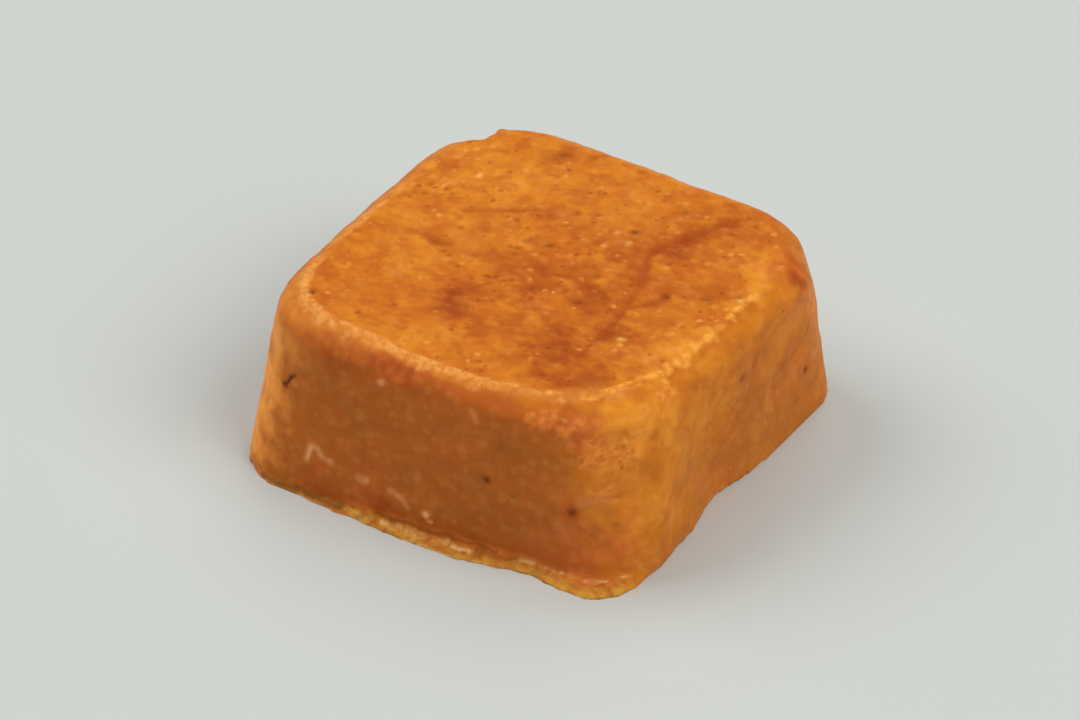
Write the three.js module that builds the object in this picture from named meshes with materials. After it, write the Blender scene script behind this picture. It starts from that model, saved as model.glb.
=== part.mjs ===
// Fudge cube: one low block of fudge, cast in a soft square mould and turned out to rest on its poured face.
// Millimetres, +Z up. The origin is on the plane that the block rests on, under the middle of its box.
// The wall on -Y carries the fin of flash, and the wall on +X has the trough.

import * as THREE from "three";
import { mergeVertices } from "three/addons/utils/BufferGeometryUtils.js";

const { lerp, radToDeg, smoothstep } = THREE.MathUtils;

// Driving dimensions of the block, in millimetres
const footSide = 35; // across the walls, where the block rests
const blockHeight = 14.8;
const wallLean = 0.3; // how far each wall comes in on its way up
const topEdgeRadius = 2.5; // of the soft edge round the top
const wallBow = 0.15; // how far the middle of each wall stands proud
const topDish = 0.25; // how far the middle of the top has sunk
const topShift = { x: 0.5, y: 0.3 }; // the whole block leans over by this much at the top

// Radii of the four upright corners, at the foot and at the top, counter-clockwise from +X +Y
const corners = [
  { foot: 3.8, top: 9.5 },
  { foot: 4.8, top: 9.0 },
  { foot: 4.6, top: 8.4 },
  { foot: 5.8, top: 11.4 },
];

// Places round the block are angles in degrees from +X, and heights are in millimetres.
// Hollows: where a wall stands in from its plain face, by footDepth at the foot and topDepth at the top
const hollows = [
  { angle: -9, halfWidth: 18, footDepth: 1.35, topDepth: 0.3, fadeHeight: Infinity }, // the +X wall's trough
  { angle: -25, halfWidth: 8, footDepth: 0, topDepth: 0.5, fadeHeight: Infinity }, // its dip under the top edge
  { angle: -64, halfWidth: 20, footDepth: 1.25, topDepth: 0, fadeHeight: 6 }, // the foot drawn in behind the fin
];

// Flash: the thin fin that ran out under the mould's rim, along the foot of the -Y wall to its corner
const finThickness = 0.8;
const finLipShare = 0.55; // of the thickness, where the fin's blunt lip ends
const finLipReachShare = 0.92; // how far the lip's upper edge reaches, of its lower edge
const finOutline = [
  { angle: -118, reach: 0 },
  { angle: -104, reach: 0.35 },
  { angle: -86, reach: 0.35 },
  { angle: -69, reach: 0.85 },
  { angle: -57, reach: 0.8 },
  { angle: -48, reach: 1.45 },
  { angle: -35, reach: 0 },
];
const finRipples = [
  { turns: 13, swing: 0.12, phase: 0.4 },
  { turns: 27, swing: 0.1, phase: 1.9 },
];

// Slow unevenness of the walls: each wave goes round the block `turns` times and drifts by `climb` radians a millimetre
const wallWaves = [
  { turns: 5, swing: 0.06, phase: 0.4, climb: 0.16 },
  { turns: 9, swing: 0.05, phase: 2.0, climb: -0.22 },
  { turns: 14, swing: 0.03, phase: 5.2, climb: 0.31 },
];

// Slow unevenness of the top: wave lengths along X and Y
const topWaves = [
  { lengthX: 26, lengthY: 41, swing: 0.09, phase: 0.7 },
  { lengthX: -15, lengthY: 19, swing: 0.06, phase: 2.3 },
  { lengthX: 11, lengthY: 13, swing: 0.04, phase: 4.1 },
];

// How finely the block is faceted
const turnSteps = 120;
const undersideSteps = 3;
const wallSteps = 8;
const edgeSteps = 7;
const topSteps = 9;

const fullTurn = 2 * Math.PI;
const quarterTurn = Math.PI / 2;
const fudgeColour = 0xc87a26;
const fudgeRoughness = 0.55;

// One ring of the block: share is how much of the outline it takes, inset how far the rounded edge has drawn it in,
// and the other shares say how much of each unevenness it follows.
function ring(height, shares) {
  return { height, share: 1, inset: 0, wallShare: 1, finShare: 0, topShare: 0, ...shares };
}

function halfSideOf({ height, share, inset }) {
  return share * (footSide / 2 - (wallLean * height) / blockHeight - inset);
}

function undersideRings() {
  const rings = [];
  for (let step = 0; step < undersideSteps; step += 1) {
    const share = step / undersideSteps;
    rings.push(ring(0, { share, wallShare: share }));
  }
  return rings;
}

function finRings() {
  return [ring(0, { finShare: 1 }), ring(finThickness * finLipShare, { finShare: finLipReachShare })];
}

function wallRings() {
  const rings = [];
  const wallTop = blockHeight - topEdgeRadius;
  for (let step = 0; step < wallSteps; step += 1) {
    rings.push(ring(lerp(finThickness, wallTop, step / wallSteps), {}));
  }
  return rings;
}

function edgeRings() {
  const rings = [];
  for (let step = 0; step <= edgeSteps; step += 1) {
    const turn = (step / edgeSteps) * quarterTurn;
    const inset = topEdgeRadius * (1 - Math.cos(turn));
    const height = blockHeight - topEdgeRadius * (1 - Math.sin(turn));
    rings.push(ring(height, { inset, topShare: Math.sin(turn) ** 2 }));
  }
  return rings;
}

function topRings() {
  const rings = [];
  for (let step = topSteps - 1; step >= 0; step -= 1) {
    const share = step / topSteps;
    rings.push(ring(blockHeight, { share, inset: topEdgeRadius, wallShare: share, topShare: 1 }));
  }
  return rings;
}

function cornerRadiusOf({ height, share, inset }, angle) {
  const quarter = Math.floor((angle + fullTurn) / quarterTurn) % corners.length;
  const { foot, top } = corners[quarter];
  return share * (lerp(foot, top, height / blockHeight) - inset);
}

// Distance from the axis to the outline of a square with round corners, along a ray at the given angle.
function roundedSquareReach(angle, halfSide, cornerRadius) {
  const sides = [Math.abs(Math.cos(angle)), Math.abs(Math.sin(angle))];
  const along = Math.max(...sides);
  const across = Math.min(...sides);
  const arcCentre = halfSide - cornerRadius;
  if ((halfSide * across) / along <= arcCentre) return halfSide / along;
  const nearest = arcCentre * (along + across);
  return nearest + Math.sqrt(nearest ** 2 - 2 * arcCentre ** 2 + cornerRadius ** 2);
}

function waveSum(waves, angle, height = 0) {
  let sum = 0;
  for (const { turns, swing, phase, climb = 0 } of waves) {
    sum += swing * Math.sin(turns * angle + phase + climb * height);
  }
  return sum;
}

// How far a point of the wall stands out from the plain leaning wall.
function wallRelief(angle, height) {
  let relief = wallBow * Math.cos(2 * angle) ** 2 + waveSum(wallWaves, angle, height);
  for (const hollow of hollows) {
    const offCentre = (radToDeg(angle) - hollow.angle) / hollow.halfWidth;
    const depth = lerp(hollow.footDepth, hollow.topDepth, height / blockHeight);
    const fade = Math.max(0, 1 - height / hollow.fadeHeight);
    relief -= depth * fade * Math.exp(-(offCentre ** 2));
  }
  return relief;
}

function finReach(angle) {
  const degrees = radToDeg(angle);
  const next = finOutline.findIndex((place) => place.angle > degrees);
  if (next < 1) return 0;
  const [from, to] = [finOutline[next - 1], finOutline[next]];
  const reach = lerp(from.reach, to.reach, smoothstep(degrees, from.angle, to.angle));
  return reach * (1 + waveSum(finRipples, angle));
}

// How far a point of the top lies above or below the block's height.
function topRelief(x, y) {
  const halfTop = footSide / 2 - wallLean - topEdgeRadius;
  let relief = -topDish * (1 - smoothstep(Math.hypot(x, y) / halfTop, 0, 1));
  for (const { lengthX, lengthY, swing, phase } of topWaves) {
    relief += swing * Math.sin(fullTurn * (x / lengthX + y / lengthY) + phase);
  }
  return relief;
}

function pointOnBlock(place, angle) {
  const outline = roundedSquareReach(angle, halfSideOf(place), cornerRadiusOf(place, angle));
  const relief = place.wallShare * wallRelief(angle, place.height);
  const reach = outline + relief + place.finShare * finReach(angle);
  const x = reach * Math.cos(angle);
  const y = reach * Math.sin(angle);
  const shift = place.height / blockHeight;
  const z = place.height + place.topShare * topRelief(x, y);
  return new THREE.Vector3(x + shift * topShift.x, y + shift * topShift.y, z);
}

// The block starts as a turned solid, whose rings are then moved from circles to uneven rounded squares.
function fudgeGeometry() {
  const rings = [...undersideRings(), ...finRings(), ...wallRings(), ...edgeRings(), ...topRings()];
  const profile = rings.map((place) => new THREE.Vector2(halfSideOf(place), place.height));
  const turned = new THREE.LatheGeometry(profile, turnSteps);
  turned.rotateX(quarterTurn);

  const { position } = turned.attributes;
  for (let index = 0; index < position.count; index += 1) {
    const angle = Math.atan2(position.getY(index), position.getX(index));
    const point = pointOnBlock(rings[index % rings.length], angle);
    position.setXYZ(index, point.x, point.y, point.z);
  }

  turned.deleteAttribute("normal");
  turned.deleteAttribute("uv");
  const block = mergeVertices(turned);
  block.computeBoundingBox();
  const middle = block.boundingBox.getCenter(new THREE.Vector3());
  block.translate(-middle.x, -middle.y, 0);
  block.computeVertexNormals();
  return block;
}

const fudgeMaterial = new THREE.MeshStandardMaterial({
  color: fudgeColour,
  roughness: fudgeRoughness,
  metalness: 0,
});

const fudgeBlock = new THREE.Mesh(fudgeGeometry(), fudgeMaterial);
fudgeBlock.name = "fudge_block";

const part = new THREE.Group();
part.add(fudgeBlock);

export default part;
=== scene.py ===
import math

import bmesh
import bpy
import numpy as np
from mathutils import Euler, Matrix, Quaternion, Vector, noise


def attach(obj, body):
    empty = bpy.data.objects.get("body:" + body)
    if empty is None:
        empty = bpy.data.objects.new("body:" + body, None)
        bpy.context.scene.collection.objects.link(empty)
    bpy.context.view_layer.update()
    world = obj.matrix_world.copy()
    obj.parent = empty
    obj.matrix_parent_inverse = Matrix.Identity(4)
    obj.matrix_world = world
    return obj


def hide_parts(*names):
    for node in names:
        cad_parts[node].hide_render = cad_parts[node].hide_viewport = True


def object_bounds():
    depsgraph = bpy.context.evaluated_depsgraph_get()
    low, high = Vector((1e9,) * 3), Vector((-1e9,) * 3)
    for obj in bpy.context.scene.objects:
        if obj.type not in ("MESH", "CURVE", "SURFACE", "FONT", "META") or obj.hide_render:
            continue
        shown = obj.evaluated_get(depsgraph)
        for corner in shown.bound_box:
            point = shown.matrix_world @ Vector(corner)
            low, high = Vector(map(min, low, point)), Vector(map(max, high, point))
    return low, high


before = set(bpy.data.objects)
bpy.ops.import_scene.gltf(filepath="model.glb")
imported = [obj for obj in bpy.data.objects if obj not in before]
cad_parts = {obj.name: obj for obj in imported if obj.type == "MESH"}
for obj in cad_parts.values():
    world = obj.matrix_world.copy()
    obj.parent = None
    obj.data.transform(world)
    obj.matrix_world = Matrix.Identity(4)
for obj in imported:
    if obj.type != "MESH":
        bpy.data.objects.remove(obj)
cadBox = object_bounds()
print("frame loaded")

# Sizes and places are in millimetres, in the frame's own axes. The fin of flash runs along the foot of the
# -Y wall, and the +X wall has the trough.
perMm = 0.001  # Blender works in metres
mmPerMetre = 1000.0
# Grain is drawn out this much along each axis and turned by so many degrees about X, which looks even on
# all the walls.
grainShape = (1.0, 0.9, 1.2)
grainTurn = 51
seedStep = (17.3, -9.1, 5.7)  # how far apart two seeds lie in the noise


def hexColour(code):
    # an sRGB hex value, turned to the linear colour that the shaders want
    channels = [int(code[start:start + 2], 16) / 255 for start in (1, 3, 5)]
    linear = [c / 12.92 if c <= 0.04045 else ((c + 0.055) / 1.055) ** 2.4 for c in channels]
    return (*linear, 1.0)


def addNode(tree, kind, output=None, inputs=None, **settings):
    # adds one node, sets it up and links it; gives back the named output, or the node itself
    node = tree.nodes.new(kind)
    for name, value in settings.items():
        setattr(node, name, value)
    sockets = {socket.identifier: socket for socket in node.inputs}
    for name, value in (inputs or {}).items():
        if isinstance(value, bpy.types.NodeSocket):
            tree.links.new(value, sockets[name])
        else:
            sockets[name].default_value = value
    if output is None:
        return node
    return next(socket for socket in node.outputs if socket.identifier == output)


def smoothStep(value, low, high):
    share = np.clip((value - low) / (high - low), 0.0, 1.0)
    return share * share * (3 - 2 * share)


def bellCurve(value):
    # 1 at nought, and fading to both sides
    return np.exp(-value ** 2)


def noiseAt(points, size, seed):
    # smooth noise, mostly from -0.5 to 0.5, in lumps about that size across
    shift = Vector(seedStep) * seed
    return np.array([noise.noise(Vector(point) / size + shift) for point in points])


def roughNoiseAt(points, size, seed):
    # the same with finer and finer lumps on it
    return sum(share * noiseAt(points, size * share, seed + share) for share in (1.0, 0.5, 0.25))


def ridgesAt(points, size, seed):
    # thin branching ridges about that far apart, from -2 to 2
    shift = Vector(seedStep) * seed
    smoothness, gap, octaves, offset, gain = 1.0, 2.1, 3, 1.0, 2.0
    farthest = 2.0
    ridges = np.array([
        noise.ridged_multi_fractal(Vector(point) / size + shift, smoothness, gap, octaves, offset, gain)
        for point in points
    ])
    return np.clip((ridges - ridges.mean()) / ridges.std(), -farthest, farthest)


def distanceToPath(places, path):
    # how far each place lies from a line through the path's points
    nearest = np.full(len(places), np.inf)
    for start, end in zip(path, path[1:]):
        start, along = np.array(start, float), np.array(end, float) - np.array(start, float)
        share = np.clip((places - start) @ along / (along @ along), 0.0, 1.0)
        offLine = places - start - share[:, None] * along
        nearest = np.minimum(nearest, np.linalg.norm(offLine, axis=1))
    return nearest


def spotMask(places, spots, raggedness=0.0):
    # how strongly each place is marked by some soft round spots, each a place, a radius and a strength
    mask = np.zeros(len(places))
    for *middle, radius, strength in spots:
        share = np.linalg.norm(places - np.array(middle), axis=1) / radius * (1 + raggedness)
        mask = np.maximum(mask, strength * bellCurve(share))
    return mask


def strokeMask(places, strokes, raggedness=0.0):
    # the same for lines, each a width, a strength and a path
    mask = np.zeros(len(places))
    for width, strength, path in strokes:
        share = distanceToPath(places, path) / width * (1 + raggedness)
        mask = np.maximum(mask, strength * bellCurve(share))
    return mask


def scatteredSpots(scatter):
    # small spots strewn round some middles, the same ones on every run
    draw = np.random.default_rng(scatter["seed"])
    spots = []
    for middle in scatter["middles"]:
        for place in draw.normal(middle, scatter["spread"], (scatter["each"], 2)):
            spots.append((*place, draw.uniform(*scatter["radius"]), draw.uniform(*scatter["strength"])))
    return spots


# The block of fudge: its skin's shape, and where its marks lie
fudgeBlock = {
    "voxel": 0.215,  # how finely the cast shape is meshed
    "smoothing": {"factor": 0.5, "rounds": 4},  # takes the facets off
    # the flat underside: one face inside that share of the outline, and how far its normals point down
    "flat": {"share": 0.9, "facing": -0.5},
    # the fin is meshed finer: past that share of the half side, and below that height
    "finMesh": {"from": 0.5, "height": 1.3, "cuts": 2},
    # the skin's unevenness
    "lumps": {"size": 6.5, "height": 0.2},
    "fineLumps": [{"size": 2.3, "height": 0.09}, {"size": 0.8, "height": 0.035}],
    "ridges": {"size": 1.9, "height": 0.014},
    "rim": {"turn": 12, "width": 8, "height": 0.07},  # the crest where the top meets its rounded edge
    "lowerBend": {"turn": 60, "width": 16, "finWall": 0.16, "troughWall": 0.07},  # fullness under that edge
    # the dry crumbly edge: degrees from level where it starts, is full, fades and ends
    "crustTurn": (5, 9, 20, 42),
    "crustRagged": (1.5, 7),  # degrees that its inner and outer borders wander
    "crustWander": {"sizes": (1.3, 4.0), "strength": 2},
    "crustStrength": {"size": 5.0, "middle": 0.8, "swing": 0.9, "range": (0.3, 1.0)},
    # degrees by which it ends sooner on the trough's side, and by the fin's wall from the middle to the
    # front corner: places along X
    "crustTrims": [{"from": 13.6, "full": 15.0, "degrees": 12}, {"from": -2, "full": 3, "degrees": 7}],
    # it is weaker on the trough's side and along the left and the back: a direction, where, and by how much
    "crustFades": [
        {"along": (1.0, 0.14), "range": (11.4, 13.2), "by": 0.9},
        {"along": (-0.95, 0.3), "range": (14.0, 15.4), "by": 0.75},
        {"along": (0.0, 1.0), "range": (13.2, 14.8), "by": 0.7},
    ],
    # and weaker where it is scorched, or toasted past so many degrees from level
    "crustBurnt": {"scorch": 0.85, "toast": 0.7, "turn": 12},
    "crustGrain": [{"size": 0.8, "height": 0.09}, {"size": 0.45, "height": 0.09}],
    "streakyGrain": 0.9,  # how much of that grain the streaky places get
    # sugar that has come out in clusters of granules
    "granules": {
        "middles": [
            (-11.0, 6.0), (-6.5, 9.0), (-5.6, -2.0), (3.4, 6.2), (-2.5, 5.0), (9.6, -6.2), (13.6, 9.6),
            (2.0, -4.0), (-11.0, -5.0), (12.0, 5.0), (-2.0, -10.5), (5.0, 12.0),
        ],
        "each": 8, "seed": 4, "spread": 1.7, "radius": (0.18, 0.38), "strength": (0.1, 0.8),
    },
    "pits": {
        "middles": [(0.0, 0.0)],
        "each": 62, "seed": 9, "spread": 8.0, "radius": (0.14, 0.26), "strength": (0.3, 0.9),
    },
    # how far marks stand out of the skin, or lie in it
    "markHeights": {
        "burnt": -0.05, "rubbed": 0.04, "granules": 0.06, "crumbs": 0.06, "crest": 0.06, "pits": -0.05,
        "lines": -0.07,
    },
    # how the borders of all marks wander: how much noise of that size moves them in or out, and sideways
    "ragged": {"size": 1.8, "strength": 1.1, "range": (-0.4, 0.8)},
    "wobble": {"size": 1.3, "reach": 0.12, "lessAtFin": 0.7},
    # marks whose borders are sharper: how far noise of that size moves them, and where they fade
    "crispBorders": {
        "scorch": {"size": 1.4, "wander": 0.4, "range": (0.0, 0.45)},
        "golden": {"size": 1.6, "wander": 0.4, "range": (0.05, 0.5)},
        "crumbs": {"size": 0.5, "wander": 0.3, "range": (0.2, 0.5)},
        "rubbed": {"size": 0.5, "wander": 0.3, "range": (0.15, 0.4)},
        "crest": {"size": 1.0, "wander": 0.9, "range": (0.1, 0.6)},
        "streaky": {"size": 0.7, "wander": 0.5, "range": (0.1, 0.6)},
        "flashCrust": {"size": 0.8, "wander": 1.0, "range": (0.15, 0.75)},
        "mustard": {"size": 0.6, "wander": 0.9, "range": (0.1, 0.6)},
    },
    "topSkin": (8, 30),  # degrees from level over which the scorched top skin ends
    "topMarks": (32, 60),  # the same for single marks
    "footMarks": (1.0, 1.3),  # height where marks on the foot end
    "wallMarks": (0.3, 0.6),  # how far a normal faces a wall's way where its marks start and are full
    # broad dents and swellings: place, radius and height
    "dents": [
        (-13.6, 11.2, 14.4, 2.6, -0.28),
        (15.6, 13.4, 13.4, 3.2, -0.35),
        (16.6, -10.2, 0.8, 3.6, 0.4),
        (16.2, -6.0, 14.4, 2.6, -0.35),
        (15.9, -2.5, 14.6, 2.2, -0.3),
        (12.6, -13.6, 14.2, 2.6, -0.25),
        (16.5, -6.4, 0.4, 2.4, 0.5),
        (16.4, -3.2, 0.4, 2.2, 0.45),
        (16.9, 12.2, 12.6, 1.8, 0.3),
        (14.6, 14.6, 13.8, 1.6, -0.2),
    ],
    # crumbs lost from the rim or stuck to the skin, in the same terms
    "crumbs": [
        (-14.7, 13.5, 13.8, 1.0, -0.5),
        (-14.1, 14.1, 13.8, 1.0, -0.55),
        (-13.5, 14.4, 14.0, 0.6, -0.5),
        (-13.4, 13.3, 14.75, 0.6, -0.3),
        (-12.85, 14.85, 14.2, 0.5, 0.25),
        (-14.5, 13.1, 14.2, 0.35, 0.2),
        (0.4, -17.3, 1.8, 0.42, 0.22),
        (-4.0, -17.1, 12.6, 0.3, 0.12),
        (10.4, -5.7, 14.9, 0.4, 0.1),
        (15.3, 3.5, 14.7, 0.8, 0.15),
    ],
    # the long crease across the top: a soft fold, then a fine line; x and y
    "creases": [
        {
            "depth": 0.3,
            "width": 0.42,
            "path": [(9.5, 13.4), (8.7, 12.2), (7.5, 10.2), (7.2, 8.9), (6.3, 7.4)],
        },
        {"depth": 0.1, "width": 0.35, "path": [(6.3, 7.4), (6.3, 5.5), (7.5, 2.9)]},
        {
            "depth": 0.16,
            "width": 0.24,
            "path": [(7.5, 2.9), (8.1, -0.4), (8.5, -2.8), (8.7, -4.4), (8.3, -6.4)],
        },
    ],
    "creaseShade": 0.8,  # how strongly the crease is painted in the dark lines' colour: painted shade in its fold
    # a short hooked crack by the left corner of the fin's wall, x and z; its dark colour is painted shade
    # in the crack
    "crack": {
        "path": [(-13.1, 8.6), (-12.75, 8.9), (-12.4, 9.5), (-12.0, 10.0)],
        "depth": 0.08,
        "width": 0.17,
        "wander": {"size": 0.5, "reach": 0.12},
    },
    # flash: ragged skin squeezed out under the mould's rim
    "fin": {
        "angles": (-134, -126, -48, -30),  # degrees from +X where it starts, is full, fades and ends
        "thickness": (0.08, 0.5),  # heights from which it thins out to its edge
        "coloured": (0.4, 0.6),  # heights where its colour ends
        "rim": (0.88, 0.96),  # shares of the outline from which it is counted as fin
        "squareness": 5,  # how squarely it is pushed away from its wall
        "reach": 0.34,
        "reachRange": (0.1, 2.0),  # how much of that its ragged lip has
        "sag": 0.14,  # how far its lip has sunk on to the plate
        "upright": (1, 1, 0.4),  # its raggedness changes less with height
        "ragged": [{"size": 5.0, "reach": 0.8}, {"size": 1.6, "reach": 0.7}],
        # places along X where it reaches farther: the place, half its width and the reach
        "tongues": [
            (-14.5, 3.0, 0.3), (-8.5, 4.0, 0.4), (-2.5, 3.5, 0.65), (2.5, 3.0, 0.85), (6.0, 2.5, 0.55),
        ],
    },
    "seeds": {
        "crustWander": 1, "crustStrength": 3, "ragged": 4, "crack": 6, "crispBorders": 7, "lumps": 10,
        "fineLumps": 11, "ridges": 15, "crustGrain": 20, "fin": 30, "wobble": (31, 32),
    },
}

# Marks on a side are given along its own two axes: x and y on the top, x and z on the fin's wall and on the
# foot below it, y and z on the trough's wall and on the left wall, which faces -X. Most are round spots,
# each with a place, a radius and a strength.
sideAxes = {"top": (0, 1), "finWall": (0, 2), "troughWall": (1, 2), "leftWall": (1, 2), "foot": (0, 2)}
# These marks are lines, each with a width, a strength and a path.
strokeMarks = ("scuffs", "lines", "edgeShade", "crest", "mustard", "flashCrust", "footShade")

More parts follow.
